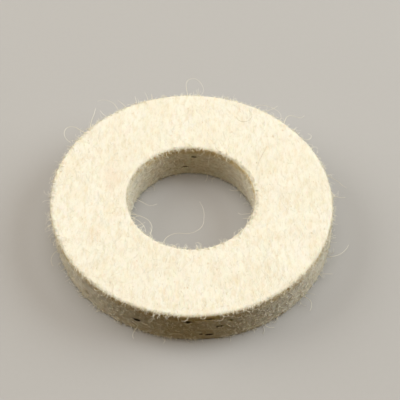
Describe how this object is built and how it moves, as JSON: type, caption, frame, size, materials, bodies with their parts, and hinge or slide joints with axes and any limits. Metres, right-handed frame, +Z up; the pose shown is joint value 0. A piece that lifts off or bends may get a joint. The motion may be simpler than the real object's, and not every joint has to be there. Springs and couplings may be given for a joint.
{
  "type": "felt polishing wheel",
  "caption": "Flat ring of pressed wool felt with a round bore through its middle, which carries polishing compound on a spinning arbor.",
  "frame": {"origin": "centre of the underside, on the wheel's axis", "axes": "+Z up, along the wheel's axis, out of the top face; X and Y lie in the underside and are alike"},
  "size_m": [0.05, 0.05, 0.0073],
  "materials": {
    "wool_felt": "matte, short loose nap"
  },
  "bodies": {
    "root": {"felt_wheel": "wool_felt"}
  },
  "joints": []
}
